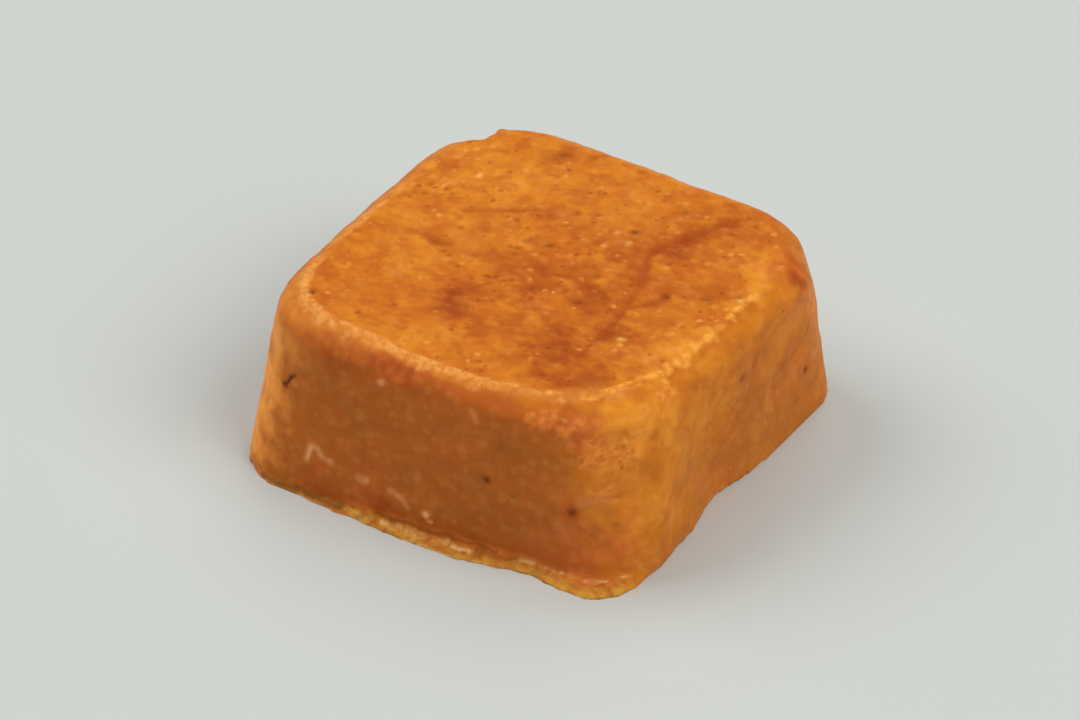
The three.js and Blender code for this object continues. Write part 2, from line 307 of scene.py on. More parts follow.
fudgeMarks = {
    # small burnt specks, each in its pit
    "burnt": {
        "top": [
            (4.7, -2.7, 0.25, 0.75), (-3.0, 2.6, 0.26, 0.6), (-1.2, 3.0, 0.28, 0.5),
            (-3.2, -2.9, 0.28, 0.75), (-2.4, -2.8, 0.26, 0.6), (3.7, 7.8, 0.22, 0.75),
            (4.3, 1.0, 0.26, 0.5), (10.1, 1.9, 0.24, 0.75), (-6.4, 14.0, 0.22, 0.5),
            (-13.0, -12.5, 0.24, 0.75), (-13.0, 3.9, 0.25, 0.45), (-7.7, -5.8, 0.24, 0.3),
            (5.6, 12.4, 0.28, 0.6), (10.1, 11.6, 0.24, 0.5), (13.0, 3.1, 0.32, 0.5),
            (-1.2, -2.7, 0.24, 0.5), (14.96, 4.8, 0.24, 0.3), (15.75, 2.6, 0.24, 0.3),
            (14.5, 0.8, 0.24, 0.25), (15.95, -2.8, 0.26, 0.25),
        ],
        "finWall": [
            (5.7, 7.3, 0.34, 1.0), (12.7, 6.4, 0.25, 0.7), (-12.85, 8.65, 0.3, 1.0), (7.9, 6.6, 0.22, 0.4),
        ],
        "troughWall": [(10.7, 5.3, 0.28, 0.8), (0.8, 10.4, 0.26, 0.6), (-14.6, 5.2, 0.4, 0.4)],
    },
    # where the pan scorched it
    "scorch": {
        "top": [
            (-4.0, -6.6, 1.1, 1.0), (-3.4, -7.8, 1.3, 1.0), (-2.2, -8.6, 1.0, 0.7), (-4.2, -0.5, 1.9, 0.5),
            (-1.9, -0.7, 1.6, 0.55), (0.1, -0.6, 1.4, 0.8), (0.9, -1.6, 1.9, 0.6), (2.6, 0.6, 2.0, 0.5),
            (5.2, 5.0, 2.6, 0.6), (1.7, -8.0, 2.0, 0.5), (-2.4, -4.8, 1.6, 0.4), (5.5, -2.3, 2.6, 0.75),
            (8.8, -4.2, 2.4, 0.8), (5.0, -7.6, 1.8, 0.7), (6.4, -9.2, 2.4, 0.85), (8.4, -10.0, 2.2, 0.8),
            (10.9, -10.6, 1.8, 0.8), (8.9, 11.2, 0.9, 0.8), (8.2, 9.2, 1.2, 1.0), (7.6, 7.4, 1.4, 1.0),
            (6.6, 7.0, 0.9, 0.8), (12.5, 3.5, 2.6, 0.4), (-8.5, -1.0, 1.6, 0.5), (-2.9, 7.0, 1.3, 0.5),
            (9.0, 13.0, 2.6, 0.45), (8.4, -5.8, 1.0, 0.9), (-3.3, -4.9, 1.3, 0.5), (-6.5, 13.6, 1.2, 0.5),
            (15.7, 11.8, 0.9, 0.8), (9.6, -12.4, 1.8, 0.8), (11.4, -14.4, 1.3, 0.7),
            (12.8, -14.2, 1.3, 0.6), (16.3, 11.0, 1.0, 1.0), (16.8, 10.3, 0.9, 0.9),
        ],
        "finWall": [
            (10.8, 13.3, 1.2, 0.7), (12.4, 12.7, 1.2, 0.6), (7.0, 12.6, 1.2, 0.3), (12.9, 6.1, 0.8, 0.5),
            (14.3, 4.6, 1.1, 0.5), (-13.0, 10.4, 0.7, 0.4), (-3.6, 1.4, 1.6, 0.7), (2.3, 7.8, 1.6, 0.25),
            (-9.0, 12.6, 1.6, 0.35), (-5.0, 13.95, 0.6, 0.8), (-4.0, 13.95, 0.7, 1.0),
            (-2.9, 14.0, 0.7, 1.0), (-1.8, 14.1, 0.55, 1.0), (-9.6, 1.3, 1.6, 0.5), (-11.5, 11.6, 0.7, 0.4),
        ],
        "troughWall": [
            (10.6, 13.9, 1.3, 1.0), (11.8, 14.3, 1.1, 0.9), (9.9, 13.1, 0.9, 0.7), (8.6, 8.8, 1.8, 0.3),
            (2.5, 12.0, 1.6, 0.3),
        ],
    },
    # wide places where the top is a shade deeper
    "toast": {
        "top": [
            (0.8, -1.0, 4.6, 0.75), (6.5, -8.5, 4.2, 0.75), (8.0, 1.8, 4.6, 0.65), (2.0, 6.5, 3.6, 0.5),
            (7.5, 7.5, 3.0, 0.7), (11.5, 12.5, 3.6, 0.5), (-3.6, -6.9, 2.4, 1.0), (-7.5, 0.5, 3.0, 0.35),
            (12.4, 6.0, 3.4, 0.5), (11.0, -2.0, 3.0, 0.5),
        ],
        "finWall": [
            (-6.0, 13.0, 3.6, 0.5), (-5.0, 1.6, 3.6, 0.4), (12.0, 11.4, 2.2, 0.3), (13.0, 4.0, 2.4, 0.5),
            (12.2, 13.0, 1.1, 0.3), (15.4, 2.8, 2.6, 0.75),
        ],
        "troughWall": [(1.8, 6.0, 2.2, 0.4), (10.0, 4.0, 4.0, 0.3)],
    },
    # pale rubbed places and bits of dry sugar
    "rubbed": {
        "finWall": [
            (-4.0, 12.6, 0.26, 0.6), (0.3, 2.0, 0.36, 1.0), (0.55, 1.4, 0.3, 1.0), (-8.3, 3.85, 0.26, 0.6),
            (-6.5, 2.95, 0.24, 0.4), (-5.1, 3.2, 0.28, 0.6), (11.8, 8.2, 0.26, 0.3), (-2.5, 4.0, 0.26, 0.3),
        ],
        "troughWall": [(0.6, 1.8, 0.28, 0.4), (-2.2, 0.7, 0.3, 0.3)],
    },
    # bits of pale sugar lying in the top and the crest; the strongest on the top are partly painted
    # highlights, glints off the sugar
    "crumbs": {
        "top": [
            (-10.5, 7.9, 0.3, 1.0), (10.2, -5.4, 0.26, 0.8), (10.5, -6.0, 0.22, 0.7), (2.6, 4.9, 0.24, 0.6),
            (4.0, 6.2, 0.26, 0.6), (-5.7, -2.5, 0.26, 0.5), (2.6, 7.0, 0.22, 0.5), (4.8, -3.4, 0.24, 0.6),
            (15.2, 4.1, 0.4, 0.8), (15.5, 3.1, 0.3, 0.7), (15.0, 0.9, 0.3, 0.5), (-12.7, 6.6, 0.24, 0.6),
            (-12.2, 5.4, 0.22, 0.7), (-11.9, 4.6, 0.2, 0.6), (-9.6, 9.4, 0.22, 0.5), (-6.0, 4.9, 0.22, 0.4),
            (-5.0, -1.4, 0.2, 0.5), (6.4, 9.6, 0.24, 0.5), (0.6, 8.2, 0.24, 0.4), (1.5, 6.2, 0.22, 0.5),
            (15.5, -7.4, 0.3, 0.5), (14.6, -6.0, 0.3, 0.5), (15.7, -4.4, 0.32, 0.6), (14.8, -2.6, 0.3, 0.5),
            (16.0, -0.8, 0.3, 0.5), (15.0, -0.2, 0.3, 0.5), (14.2, -9.6, 0.3, 0.5), (14.3, -3.6, 0.3, 0.5),
            (14.9, 2.6, 0.3, 0.5), (15.9, 1.8, 0.3, 0.5), (15.3, 4.9, 0.3, 0.4), (14.6, 5.6, 0.3, 0.3),
        ],
        "finWall": [
            (15.1, 12.0, 0.28, 0.4), (15.7, 11.4, 0.26, 0.4), (14.9, 11.2, 0.26, 0.35),
            (15.6, 10.8, 0.26, 0.35), (15.8, 12.1, 0.26, 0.35), (14.5, 12.1, 0.28, 0.4),
            (10.2, 13.3, 0.3, 0.35), (12.0, 13.2, 0.28, 0.35), (12.7, 13.0, 0.26, 0.3),
            (13.1, 12.4, 0.28, 0.35), (13.9, 12.0, 0.26, 0.3), (11.3, 13.7, 0.26, 0.35),
        ],
        "troughWall": [
            (-12.6, 12.6, 0.3, 0.5), (-11.0, 12.2, 0.26, 0.4), (11.6, 12.0, 0.3, 0.4),
            (11.0, 10.9, 0.26, 0.3),
        ],
    },
    # thin pale lines: width, strength and path
    "scuffs": {
        "finWall": [
            (0.24, 0.9, [(-10.3, 3.5), (-10.1, 4.3)]), (0.2, 0.6, [(-9.9, 4.5), (-9.3, 4.4), (-9.0, 3.9)]),
            (0.2, 0.5, [(-8.9, 3.9), (-8.2, 3.7)]), (0.22, 0.4, [(-5.6, 3.0), (-4.9, 3.3)]),
            (0.22, 0.45, [(-2.9, 3.0), (-2.0, 2.7), (-1.3, 2.0)]), (0.22, 0.35, [(4.0, 13.0), (4.6, 12.2)]),
            (0.3, 0.12, [(-0.7, 5.8), (-0.7, 2.8)]), (0.22, 0.2, [(13.2, 7.0), (14.2, 7.5), (15.2, 7.3)]),
            (0.4, 0.14, [(11.6, 5.2), (12.4, 4.4), (12.6, 3.6)]),
        ],
    },
    # thin darker lines in the skin, in the same terms
    "lines": {
        "top": [
            (0.26, 0.6, [(-9.0, 3.3), (-6.4, 5.0), (-4.3, 6.6)]),
            (0.36, 1.0, [(-3.9, -5.8), (-4.0, -6.8), (-3.6, -8.2), (-2.4, -8.7)]),
            (0.6, 0.5, [(-0.7, -8.4), (0.2, -10.3)]),
            (0.4, 0.5, [(3.6, -5.8), (5.4, -6.4), (7.4, -8.7), (7.5, -11.0), (7.0, -12.7)]),
            (0.3, 0.9, [(8.8, -4.3), (8.8, -5.6), (8.4, -6.3), (8.8, -9.0)]),
            (0.32, 0.8, [(0.2, -0.4), (2.4, 0.1), (3.4, 0.0), (4.9, -0.4), (6.1, -0.8)]),
            (0.22, 0.5, [(-0.8, -11.8), (1.1, -13.4)]), (0.28, 0.8, [(10.1, 1.9), (9.8, 0.8), (8.7, -1.0)]),
            (0.36, 0.5, [(-7.4, 11.8), (-6.4, 14.1)]),
            # the crease's upper edge: a line of painted shade along its fold
            (0.3, 0.9, [(9.6, 13.8), (8.9, 12.2), (7.8, 10.2), (7.5, 8.9)]),
            (0.3, 0.6, [(-1.5, -2.8), (-2.6, -4.0), (-3.2, -5.4)]),
            (0.3, 0.5, [(1.6, -2.2), (0.6, -3.4), (0.9, -4.6)]),
            (0.3, 0.6, [(-10.2, -1.2), (-9.0, -1.4), (-7.9, -1.0)]),
            (0.28, 0.5, [(4.8, 10.0), (5.6, 8.9), (5.2, 7.4)]),
        ],
        "finWall": [
            (0.24, 0.4, [(7.4, 11.8), (6.4, 10.0)]), (0.26, 0.5, [(12.7, 6.3), (13.8, 7.4), (15.4, 7.6)]),
            (0.3, 0.4, [(-11.5, 8.2), (-11.9, 6.4)]), (0.3, 0.3, [(13.2, 5.2), (14.6, 4.2), (15.6, 3.0)]),
        ],
        "troughWall": [
            (0.3, 0.5, [(10.8, 9.2), (8.6, 8.0), (5.6, 7.6)]), (0.3, 0.4, [(2.6, 10.4), (1.8, 7.2)]),
        ],
    },
    # painted shade under the dry edge, where the rounded edge turns down into the fin's wall
    "edgeShade": {
        "finWall": [
            (0.7, 1.0, [(-14.0, 13.2), (-10.4, 13.5), (-7.5, 13.9), (1.0, 14.0), (6.6, 13.9), (9.0, 13.4)]),
        ],
    },
    # duller brown places
    "umber": {
        "finWall": [(-8.0, 9.5, 4.0, 0.3), (3.0, 4.5, 4.0, 0.25), (8.5, 10.5, 3.0, 0.3)],
        "troughWall": [
            (1.6, 9.5, 1.7, 0.6), (1.6, 5.5, 2.5, 0.6), (1.0, 2.5, 4.0, 0.6), (8.0, 2.0, 4.5, 0.5),
            (-5.0, 1.5, 3.0, 0.5), (-11.0, 1.0, 2.5, 0.35),
        ],
    },
    # the thin bright crest between the top and the trough's wall
    "crest": {
        "top": [
            (0.26, 1.0, [
                (11.6, -13.2), (12.4, -12.6), (12.8, -11.3), (13.6, -9.8), (13.9, -8.9), (14.4, -8.2),
            ]),
            (0.3, 1.0, [
                (14.4, -8.2), (14.9, -6.5), (15.15, -5.1), (15.25, -3.5), (15.35, -1.5), (15.6, 0.5),
            ]),
            (0.34, 0.9, [(15.5, 1.6), (15.65, 3.6), (15.6, 5.6)]),
            (0.34, 0.5, [(15.5, 6.6), (14.6, 9.0), (13.2, 11.4)]),
        ],
    },
    # pale grain at the front corner and beside it
    "streaky": {
        "finWall": [
            (14.3, 11.3, 1.0, 0.8), (14.3, 9.7, 0.9, 0.6), (12.4, 13.6, 1.0, 0.7), (15.4, 11.6, 1.1, 0.7),
            (11.5, 13.3, 1.1, 0.8), (10.2, 13.7, 1.1, 0.9), (14.6, 8.2, 1.0, 0.6), (13.2, 12.2, 1.0, 0.8),
            (13.6, 10.8, 1.2, 0.8), (15.2, 10.2, 1.0, 0.7), (12.2, 12.2, 0.9, 0.6), (9.0, 13.6, 0.9, 0.6),
        ],
        "troughWall": [
            (12.6, 10.6, 2.4, 0.6), (13.4, 12.6, 1.6, 0.5), (-8.9, 14.1, 0.9, 0.9), (-7.4, 14.0, 0.8, 0.8),
            (-9.8, 13.3, 0.8, 0.6), (-10.8, 14.0, 0.8, 0.6), (-12.4, 12.4, 1.2, 0.5),
        ],
        "top": [(15.6, 9.6, 1.2, 0.3), (14.9, 8.6, 0.9, 0.4)],
    },
    # the fin's clear yellow places and its dry crust, and lines of painted shade in the crevices along it
    "mustard": {
        "foot": [
            (0.3, 0.7, [(-17.0, 0.6), (-15.8, 0.5)]), (0.12, 0.6, [(-7.6, 0.4), (-6.2, 0.36)]),
            (0.24, 1.0, [(-6.0, 0.36), (-4.4, 0.34)]), (0.2, 0.8, [(-4.2, 0.36), (-3.0, 0.3)]),
            (0.14, 0.8, [(-2.6, 0.26), (2.0, 0.3)]), (0.12, 0.8, [(2.4, 0.24), (7.4, 0.26)]),
            (0.34, 0.8, [(8.4, 0.3), (11.0, 0.35), (16.6, 0.38)]),
        ],
    },
    "flashCrust": {
        "foot": [
            (0.09, 0.9, [(-13.4, 0.1), (-12.2, 0.1)]), (0.1, 1.0, [(-10.6, 0.12), (-7.4, 0.12)]),
            (0.08, 0.6, [(-6.6, 0.1), (-3.6, 0.1)]), (0.1, 0.8, [(-3.4, 0.4), (-1.6, 0.42)]),
            (0.1, 0.9, [(-1.2, 0.44), (0.8, 0.42)]), (0.1, 0.8, [(1.2, 0.4), (2.4, 0.42)]),
            (0.09, 0.9, [(2.8, 0.4), (4.6, 0.38)]), (0.09, 0.8, [(-2.6, 0.08), (2.0, 0.08)]),
            (0.1, 1.0, [(2.2, 0.1), (7.2, 0.12)]), (0.09, 0.7, [(7.0, 0.3), (9.0, 0.62)]),
            (0.09, 0.6, [(9.0, 0.66), (12.0, 0.76), (16.4, 0.78)]),
            (0.08, 0.5, [(10.4, 0.06), (15.0, 0.06)]),
        ],
    },
    # painted shade along the fin: dark lines in the crevice where its lip meets the wall, under its lip and
    # where it touches the plate
    "footShade": {
        "foot": [
            (0.12, 0.5, [(-16.8, 0.3), (-15.6, 0.24)]),
            (0.11, 0.8, [(-14.4, 0.3), (-11.0, 0.36), (-7.0, 0.32)]),
            (0.1, 0.6, [(-4.0, 0.66), (2.6, 0.66), (6.4, 0.64)]), (0.1, 0.45, [(4.8, 0.46), (8.2, 0.5)]),
            (0.05, 0.5, [(9.0, 0.02), (13.0, 0.02)]),
        ],
    },
    # rosier places
    "rosy": {
        "top": [(16.3, 11.0, 1.3, 0.6)],
        "finWall": [
            (11.4, 13.6, 1.1, 0.8), (12.4, 12.8, 1.2, 0.9), (13.3, 12.0, 1.0, 0.8), (10.4, 13.9, 0.9, 0.6),
            (12.4, 4.2, 2.2, 0.5), (13.2, 2.2, 1.8, 0.5), (10.5, 2.4, 2.0, 0.45), (-4.5, 2.2, 2.0, 0.3),
            (-9.5, 2.6, 1.8, 0.25), (-3.4, 13.7, 1.4, 0.5), (2.4, 9.6, 2.4, 0.2), (15.6, 3.4, 2.2, 0.4),
        ],
        "troughWall": [(10.9, 13.7, 1.5, 0.6), (9.5, 6.0, 2.0, 0.25), (-1.0, 1.2, 2.0, 0.3)],
    },
    # clear orange places, mostly up the corners: partly the fudge being clearer there, partly painted light
    # that the corners catch and let through
    "clear": {
        "finWall": [
            (-15.0, 11.4, 2.0, 0.9), (-15.4, 8.2, 2.1, 1.0), (-15.6, 5.0, 2.2, 1.0), (-16.2, 2.2, 1.8, 1.0),
            (15.4, 9.0, 2.6, 0.2), (15.6, 5.0, 2.6, 0.15), (15.8, 2.0, 2.0, 0.1), (-12.8, 12.4, 1.8, 0.5),
        ],
        "troughWall": [(-15.4, 8.0, 2.6, 0.25), (-15.6, 4.0, 2.6, 0.3)],
        "leftWall": [(-13.5, 11.5, 2.4, 0.7), (-13.8, 7.5, 3.0, 1.0), (-13.8, 3.2, 2.8, 1.0)],
    },
    # clear yellow places
    "golden": {
        "top": [
            (14.5, -11.9, 1.6, 1.0), (13.6, -12.6, 1.1, 1.0), (14.9, -8.6, 1.2, 0.9),
            (14.3, -3.4, 1.3, 1.0), (15.2, 6.4, 1.0, 1.0), (16.1, 5.6, 0.9, 0.8), (14.1, -4.6, 1.2, 1.0),
            (13.6, -2.8, 0.9, 0.7), (14.7, -1.0, 0.9, 0.6), (15.0, 7.2, 1.6, 1.0), (14.9, 3.2, 1.2, 0.6),
            (13.6, 10.6, 1.3, 0.6), (-15.6, -5.0, 0.9, 0.6), (-15.4, -1.0, 1.0, 0.7),
            (-15.0, 3.2, 1.0, 0.8), (-14.6, 7.4, 1.1, 0.8), (-13.6, 11.2, 1.2, 0.7), (-9.0, 9.0, 5.0, 0.45),
            (-9.0, -2.0, 5.0, 0.45), (0.0, 13.0, 4.0, 0.3), (-3.5, -12.6, 3.0, 0.45),
            (2.5, -12.0, 2.4, 0.35), (-3.0, 8.8, 2.0, 0.3), (1.5, 9.5, 3.0, 0.35),
        ],
        "finWall": [
            (14.2, 14.0, 1.2, 0.9), (14.6, 13.3, 1.1, 0.9), (-13.2, 13.9, 1.4, 0.6),
            (-14.6, 13.6, 1.2, 0.6),
        ],
        "troughWall": [
            (-11.6, 13.4, 2.2, 1.0), (-12.7, 13.8, 1.3, 1.0), (-9.5, 13.2, 2.6, 0.7),
            (-8.7, 9.0, 3.0, 0.35), (-5.0, 10.0, 3.0, 0.4), (6.5, 13.2, 1.6, 0.35), (-11.5, 5.5, 3.0, 0.5),
            (3.6, 13.6, 1.2, 0.35), (-2.5, 13.4, 2.2, 0.4),
        ],
    },
}


def readSurface(mesh):
    # the mesh's points in millimetres, and their normals
    vectors = []
    for collection, name in ((mesh.vertices, "co"), (mesh.vertex_normals, "vector")):
        values = np.zeros(len(collection) * 3, np.float32)
        collection.foreach_get(name, values)
        vectors.append(values.reshape(-1, 3).astype(float))
    return vectors[0] * mmPerMetre, vectors[1]


def writePoints(mesh, points):
    mesh.vertices.foreach_set("co", (points * perMm).astype(np.float32).ravel())
    mesh.update()


def outlineShare(x, y, halfSide):
    # 1 on a rounded square of that half side, less inside it
    squareness = 6
    return (np.abs(x) ** squareness + np.abs(y) ** squareness) ** (1 / squareness) / halfSide


def castShape(surface):
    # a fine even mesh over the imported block, finer still at the fin
    block = bpy.data.objects.new("fudgeBlock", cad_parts["fudge_block"].data.copy())
    bpy.context.scene.collection.objects.link(block)
    remesh = block.modifiers.new("remesh", "REMESH")
    remesh.mode = "VOXEL"
    remesh.voxel_size = surface["voxel"] * perMm
    smooth = block.modifiers.new("smooth", "SMOOTH")
    smooth.factor = surface["smoothing"]["factor"]
    smooth.iterations = surface["smoothing"]["rounds"]
    seen = block.evaluated_get(bpy.context.evaluated_depsgraph_get())
    mesh = bpy.data.meshes.new_from_object(seen)
    block.modifiers.clear()
    block.data = mesh
    mesh.materials.clear()

    halfSide = cadBox[1].x
    bm = bmesh.new()
    bm.from_mesh(mesh)
    flat = [
        face for face in bm.faces
        if face.calc_center_median().z < surface["voxel"] * perMm / 2
        and outlineShare(*face.calc_center_median().xy, halfSide) < surface["flat"]["share"]
    ]
    bmesh.ops.dissolve_faces(bm, faces=flat, use_verts=False)
    finer = surface["finMesh"]
    finStart, finTop = -finer["from"] * halfSide, finer["height"] * perMm
    finEdges = [
        edge for edge in bm.edges
        if all(vert.co.y < finStart and 0.0 < vert.co.z < finTop for vert in edge.verts)
    ]
    bmesh.ops.subdivide_edges(bm, edges=finEdges, cuts=finer["cuts"], use_grid_fill=True)
    bmesh.ops.triangulate(bm, faces=[face for face in bm.faces if len(face.verts) > 4])
    bm.to_mesh(mesh)
    bm.free()
    mesh.shade_smooth()
    return block


def pushOut(points, normals, spots):
    # swellings and dents, each a place, a radius and a height
    relief = np.zeros(len(points))
    for *spot, height in spots:
        relief += height * spotMask(points, [(*spot, 1.0)])
    return points + relief[:, None] * normals


def finPush(surface, points, halfSide):
    # where the fin is, and how far its ragged lip is pushed out along the foot
    fin, seed = surface["fin"], surface["seeds"]["fin"]
    x, y, z = points.T
    angle = np.degrees(np.arctan2(y, x))
    start, full, fade, end = fin["angles"]
    mask = smoothStep(angle, start, full) * (1 - smoothStep(angle, fade, end))
    mask *= smoothStep(outlineShare(x, y, halfSide), *fin["rim"])
    wedge = mask * (1 - smoothStep(z, *fin["thickness"]))
    mask *= 1 - smoothStep(z, *fin["coloured"])
    upright = points * fin["upright"]
    reach = 1 + sum(edge["reach"] * noiseAt(upright, edge["size"], seed) for edge in fin["ragged"])
    reach = fin["reach"] * np.clip(reach, *fin["reachRange"])
    for middle, width, farther in fin["tongues"]:
        reach += farther * bellCurve((x - middle) / width)
    outward = np.stack([x ** fin["squareness"], y ** fin["squareness"], np.zeros(len(x))], axis=1)
    outward /= np.linalg.norm(outward, axis=1)[:, None]
    return mask, (wedge * reach)[:, None] * outward


def markStrengths(surface, points, facing, finMask, ragged):
    # how strongly each point carries each mark, with borders that wander
    seeds, wobble = surface["seeds"], surface["wobble"]
    sideways = [roughNoiseAt(points, wobble["size"], seed) for seed in seeds["wobble"]]
    sideways = wobble["reach"] * np.stack(sideways, axis=1)
    sideways *= 1 - wobble["lessAtFin"] * finMask[:, None]
    masks = {}
    for name, sides in fudgeMarks.items():
        drawMask = strokeMask if name in strokeMarks else spotMask
        masks[name] = np.zeros(len(points))
        for side, shapes in sides.items():
            places = points[:, sideAxes[side]] + sideways
            masks[name] = np.maximum(masks[name], facing[side] * drawMask(places, shapes, ragged))
    for name, border in surface["crispBorders"].items():
        wander = border["wander"] * roughNoiseAt(points, border["size"], seeds["crispBorders"])
        masks[name] *= smoothStep(masks[name] + wander, *border["range"])
    masks["rubbed"] = np.maximum(masks["rubbed"], masks.pop("scuffs"))
    return masks


def dryCrust(surface, points, turn, upper, masks):
    # dry crumbly edge all round the top, wandering in width and strength
    seeds, wander, strength = surface["seeds"], surface["crustWander"], surface["crustStrength"]
    sizes = enumerate(wander["sizes"], seeds["crustWander"])
    swing = wander["strength"] * sum(noiseAt(points, size, seed) for seed, size in sizes)
    inner, outer = (turn + degrees * swing for degrees in surface["crustRagged"])
    for trim in surface["crustTrims"]:
        outer += trim["degrees"] * smoothStep(points[:, 0], trim["from"], trim["full"])
    start, full, fade, end = surface["crustTurn"]
    crust = smoothStep(inner, start, full) * (1 - smoothStep(outer, fade, end))
    patches = strength["swing"] * noiseAt(points, strength["size"], seeds["crustStrength"])
    crust *= np.clip(strength["middle"] + patches, *strength["range"]) * upper
    burnt = surface["crustBurnt"]
    crust *= 1 - burnt["scorch"] * masks["scorch"]
    crust *= 1 - burnt["toast"] * masks["toast"] * (turn > burnt["turn"])
    for weaker in surface["crustFades"]:
        places = points[:, :2] @ np.array(weaker["along"])
        crust *= 1 - weaker["by"] * smoothStep(places, *weaker["range"])
    return crust


def creaseAndCrack(surface, points, topSkin, facing, ragged):
    # the crease's strength and how deep it lies, and the crack's strength
    creaseMask, creaseRelief = np.zeros(len(points)), np.zeros(len(points))
    for crease in surface["creases"]:
        strokes = [(crease["width"], 1.0, crease["path"])]
        strength = topSkin * strokeMask(points[:, sideAxes["top"]], strokes, ragged)
        creaseMask = np.maximum(creaseMask, strength)
        creaseRelief = np.minimum(creaseRelief, -crease["depth"] * strength)
    crack, wander = surface["crack"], surface["crack"]["wander"]
    offCrack = distanceToPath(points[:, sideAxes["finWall"]], crack["path"])
    offCrack += wander["reach"] * noiseAt(points, wander["size"], surface["seeds"]["crack"])
    return creaseMask, creaseRelief, facing["finWall"] * bellCurve(offCrack / crack["width"])


def skinRelief(surface, points, turn, upper, facing, masks):
    # how far the skin stands out or lies in, apart from the crease and the crack
    seeds = surface["seeds"]
    relief = np.zeros(len(points))
    for name, height in surface["markHeights"].items():
        relief += height * masks[name]
    rim, bend = surface["rim"], surface["lowerBend"]
    relief += rim["height"] * upper * bellCurve((turn - rim["turn"]) / rim["width"])
    for wall in ("finWall", "troughWall"):
        relief += bend[wall] * upper * facing[wall] * bellCurve((turn - bend["turn"]) / bend["width"])
    lumps, ridges = surface["lumps"], surface["ridges"]
    relief += lumps["height"] * noiseAt(points, lumps["size"], seeds["lumps"])
    evened = points @ np.array(Euler((math.radians(grainTurn), 0, 0)).to_matrix()) / grainShape
    for seed, lump in enumerate(surface["fineLumps"], seeds["fineLumps"]):
        relief += lump["height"] * noiseAt(evened, lump["size"], seed)
    relief += ridges["height"] * ridgesAt(evened, ridges["size"], seeds["ridges"])
    grainy = np.maximum(masks["crust"], surface["streakyGrain"] * masks["streaky"])
    for seed, grain in enumerate(surface["crustGrain"], seeds["crustGrain"]):
        relief += grain["height"] * grainy * noiseAt(points, grain["size"], seed)
    return relief


def makeFudgeBlock():
    # the block with its skin carved, and the names of the marks that its points carry
    surface = fudgeBlock
    block = castShape(surface)
    mesh = block.data
    points, normals = readSurface(mesh)
    writePoints(mesh, pushOut(points, normals, surface["dents"]))
    points, normals = readSurface(mesh)
    print("fudge block meshed:", len(points), "points")

    halfSide = cadBox[1].x * mmPerMetre
    turn = np.degrees(np.arccos(np.clip(normals[:, 2], -1.0, 1.0)))  # from level
    upper = points[:, 2] > halfSide / 2
    topSkin = upper * (1 - smoothStep(turn, *surface["topSkin"]))
    facing = {
        "top": upper * (1 - smoothStep(turn, *surface["topMarks"])),
        "finWall": smoothStep(-normals[:, 1], *surface["wallMarks"]),
        "troughWall": smoothStep(normals[:, 0], *surface["wallMarks"]),
        "leftWall": smoothStep(-normals[:, 0], *surface["wallMarks"]),
        "foot": (1 - smoothStep(points[:, 2], *surface["footMarks"])) * (points[:, 1] < 0),
    }
    finMask, push = finPush(surface, points, halfSide)
    border = surface["ragged"]
    ragged = border["strength"] * roughNoiseAt(points + push, border["size"], surface["seeds"]["ragged"])
    ragged = np.clip(ragged, *border["range"])
    masks = markStrengths(surface, points + push, facing, finMask, ragged)
    for name in ("granules", "pits"):
        spots = scatteredSpots(surface[name])
        masks[name] = topSkin * spotMask(points[:, sideAxes["top"]], spots, ragged)
    masks["crust"] = dryCrust(surface, points, turn, upper, masks)
    creaseMask, creaseRelief, crackMask = creaseAndCrack(surface, points, topSkin, facing, ragged)
    print("marks placed:", ", ".join(masks))

    relief = creaseRelief - surface["crack"]["depth"] * crackMask
    relief += skinRelief(surface, points, turn, upper, facing, masks)
    relief[normals[:, 2] < surface["flat"]["facing"]] = 0.0  # it rests flat
    points = pushOut(points, normals, surface["crumbs"]) + relief[:, None] * normals + push
    points[:, 2] = np.maximum(points[:, 2] - surface["fin"]["sag"] * finMask, 0.0)
    writePoints(mesh, points)

    masks["fin"] = finMask
    masks["walls"] = 1 - facing["top"]
    masks["topSkin"] = topSkin
    masks["troughSide"] = facing["troughWall"]
    # painted shade: the crease's fold is drawn with the dark lines
    masks["lines"] = np.maximum(masks["lines"], surface["creaseShade"] * creaseMask)
    # painted shade: the crack is drawn in the burnt specks' dark colour
    masks["burnt"] = np.maximum(masks["burnt"], crackMask)
    for name, values in masks.items():
        attribute = mesh.attributes.new(name, "FLOAT", "POINT")
        attribute.data.foreach_set("value", values.astype(np.float32))
    return block, list(masks)


